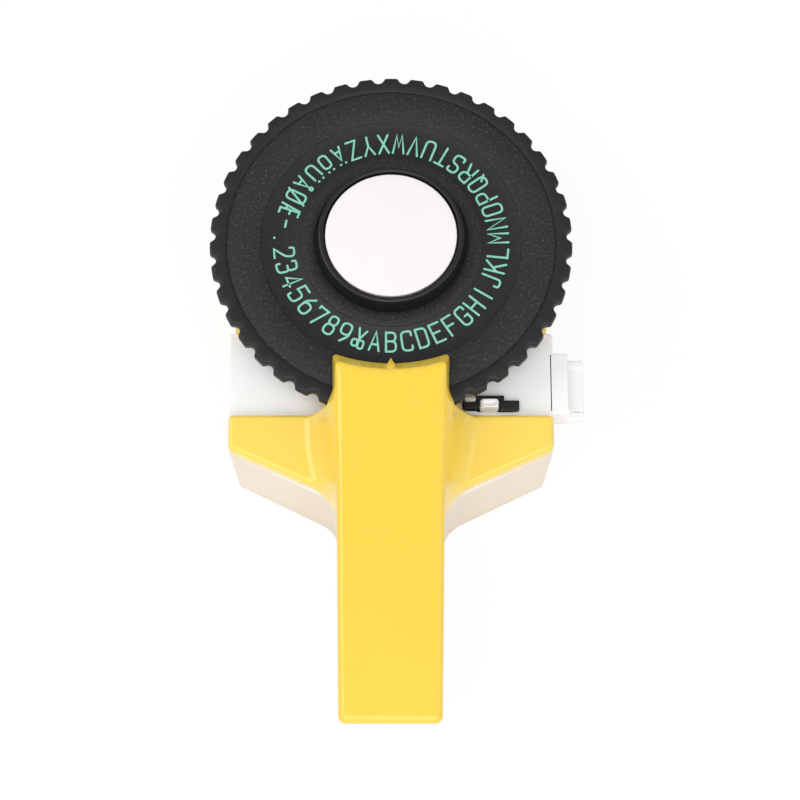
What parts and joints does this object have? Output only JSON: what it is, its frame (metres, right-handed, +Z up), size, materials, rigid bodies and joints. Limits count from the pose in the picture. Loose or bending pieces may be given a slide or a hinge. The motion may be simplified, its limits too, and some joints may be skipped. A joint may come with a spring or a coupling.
{
  "type": "label embosser",
  "caption": "Hand-held label embosser with a toothed character dial over a tape bay, a squeeze lever under a long grip bar, a lifting hammer and a sliding tape feed.",
  "frame": {"origin": "where the dial's axis meets the flat rest face", "axes": "+Z up along the dial's axis, -Y along the grip bar away from the dial, +X to the right towards the tape chute"},
  "size_m": [0.0881, 0.1575, 0.0434],
  "materials": {
    "yellow_plastic": "glossy warm yellow moulding",
    "white_plastic": "semi-gloss white moulding",
    "white_gloss": "smooth white disc, bare",
    "black_plastic": "charcoal black, fine spark-eroded grain",
    "grey_plastic": "light grey rounded head",
    "steel": "zinc plated steel",
    "brass": "turned brass",
    "rubber": "soft black rubber",
    "tape": "blue vinyl embossing tape"
  },
  "bodies": {
    "casing": {"dial_axle": "steel", "axle_washer": "steel", "axle_screw": "steel", "chassis": "steel", "chassis_screws": "steel", "detent_spring": "steel", "detent_rivet": "brass", "front_housing": "yellow_plastic", "lower_case": "white_plastic", "base_plate": "white_plastic", "case_screws": "steel", "tape_chute": "white_plastic", "upper_shell": "yellow_plastic", "handle_screws": "steel", "grip_plate": "yellow_plastic", "grip_screws": "steel", "anvil": "steel", "anvil_screws": "steel", "lever_pin": "steel", "lever_clips": "steel", "lever_spring": "steel", "crank_pin": "steel", "feed_spring": "steel", "cover_pin": "steel"},
    "dial": {"dial_plate": "black_plastic", "dial_knob": "black_plastic", "badge_disc": "white_gloss", "hub_bush": "brass", "upper_die_ring": "black_plastic", "lower_die_ring": "black_plastic", "die_screws": "steel", "cutter_blade": "steel"},
    "lever": {"trigger_lever": "white_plastic"},
    "hammer": {"hammer": "steel"},
    "crank": {"feed_crank": "white_plastic"},
    "slider": {"feed_slider": "black_plastic", "feed_pad": "rubber", "slider_rivet": "grey_plastic"},
    "cover": {"tape_cover": "yellow_plastic", "tape_roll": "tape"}
  },
  "joints": [
    {"name": "dial_turn", "type": "hinge", "parent": "casing", "child": "dial", "pos_m": [0, 0, 0.03], "axis": [0, 0, 1], "continuous": true, "deforming": ["detent_spring"]},
    {"name": "lever_squeeze", "type": "hinge", "parent": "casing", "child": "lever", "pos_m": [0, -0.023, 0.009], "axis": [-1, 0, 0], "range_deg": [0, 13], "stiffness_Nm_per_rad": 0.5, "springref_deg": -11.46, "deforming": ["lever_spring", "feed_spring"]},
    {"name": "hammer_lift", "type": "slide", "parent": "casing", "child": "hammer", "axis": [0, 0, 1], "range_m": [0, 0.0019], "stiffness_N_per_m": 0.2, "springref_m": 0.1069},
    {"name": "crank_rock", "type": "hinge", "parent": "casing", "child": "crank", "pos_m": [0.023, -0.0373, 0.013], "axis": [0, 1, 0], "range_deg": [0, 16]},
    {"name": "feed_slide", "type": "slide", "parent": "casing", "child": "slider", "axis": [1, 0, 0], "range_m": [0, 0.0039]},
    {"name": "cover_open", "type": "hinge", "parent": "casing", "child": "cover", "pos_m": [0, 0.0303, 0.0016], "axis": [1, 0, 0], "range_deg": [0, 100]}
  ],
  "couplings": [
    {"joint": "hammer_lift", "follows": "lever_squeeze", "m_per_rad": 0.0083},
    {"joint": "crank_rock", "follows": "lever_squeeze", "ratio": 1.2},
    {"joint": "feed_slide", "follows": "lever_squeeze", "m_per_rad": 0.0171}
  ]
}
